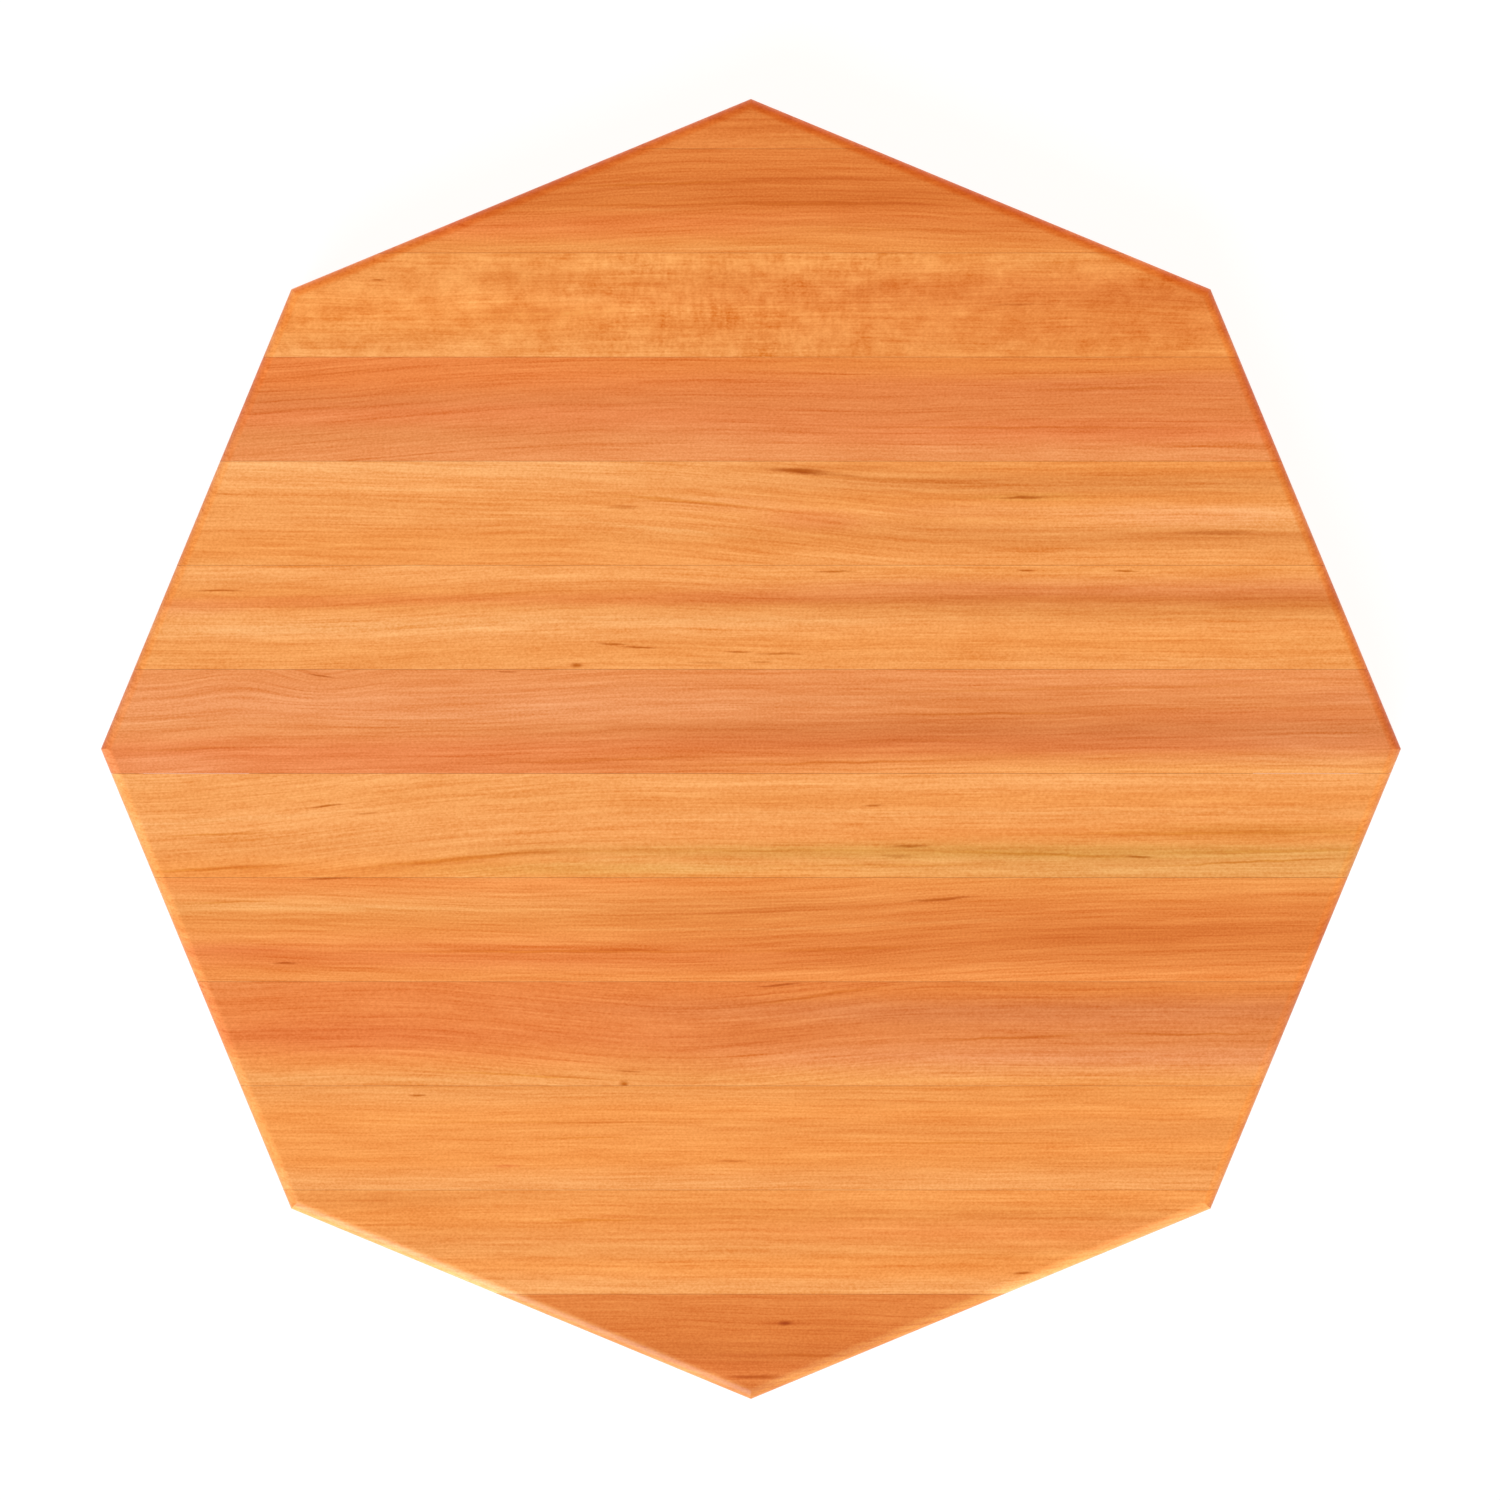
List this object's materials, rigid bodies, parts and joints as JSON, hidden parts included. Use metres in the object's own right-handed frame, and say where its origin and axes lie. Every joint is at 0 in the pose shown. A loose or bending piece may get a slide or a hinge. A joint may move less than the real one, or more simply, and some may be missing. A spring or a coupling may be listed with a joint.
{
  "type": "crokinole board",
  "caption": "Octagonal wooden crokinole board lying face down: plain edge-glued cherry back, mitred rails and a round playing deck with centre hole and sleeved posts.",
  "frame": {"origin": "on the table, under the centre of the octagon, with the board lying face down on its rails", "axes": "+Z out of the plain back, +X along the staves, a corner of the octagon on each of +X, -X, +Y and -Y"},
  "size_m": [0.8522, 0.8522, 0.0603],
  "materials": {
    "cherry_pale": "oiled, satin",
    "cherry_mid": "oiled, satin",
    "cherry_red": "oiled, satin",
    "maple_ply": "lacquered, semi-gloss",
    "beech": "planed, unfinished",
    "steel": "zinc plated",
    "rubber": "matte latex tube"
  },
  "bodies": {
    "root": {"stave_01": "cherry_mid", "stave_02": "cherry_mid", "stave_03": "cherry_pale", "stave_04": "cherry_red", "stave_05": "cherry_pale", "stave_06": "cherry_pale", "stave_07": "cherry_red", "stave_08": "cherry_pale", "stave_09": "cherry_mid", "stave_10": "cherry_red", "stave_11": "cherry_pale", "stave_12": "cherry_pale", "stave_13": "cherry_mid", "rail_1": "cherry_mid", "rail_2": "cherry_mid", "rail_3": "cherry_mid", "rail_4": "cherry_mid", "rail_5": "cherry_mid", "rail_6": "cherry_mid", "rail_7": "cherry_mid", "rail_8": "cherry_mid", "rail_tongue_1": "beech", "rail_tongue_2": "beech", "rail_tongue_3": "beech", "rail_tongue_4": "beech", "rail_tongue_5": "beech", "rail_tongue_6": "beech", "rail_tongue_7": "beech", "rail_tongue_8": "beech", "mitre_spline_1": "beech", "mitre_spline_2": "beech", "mitre_spline_3": "beech", "mitre_spline_4": "beech", "mitre_spline_5": "beech", "mitre_spline_6": "beech", "mitre_spline_7": "beech", "mitre_spline_8": "beech", "deck": "maple_ply", "post_screw_1": "steel", "post_screw_2": "steel", "post_screw_3": "steel", "post_screw_4": "steel", "post_screw_5": "steel", "post_screw_6": "steel", "post_screw_7": "steel", "post_screw_8": "steel", "post_sleeve_1": "rubber", "post_sleeve_2": "rubber", "post_sleeve_3": "rubber", "post_sleeve_4": "rubber", "post_sleeve_5": "rubber", "post_sleeve_6": "rubber", "post_sleeve_7": "rubber", "post_sleeve_8": "rubber"}
  },
  "joints": []
}
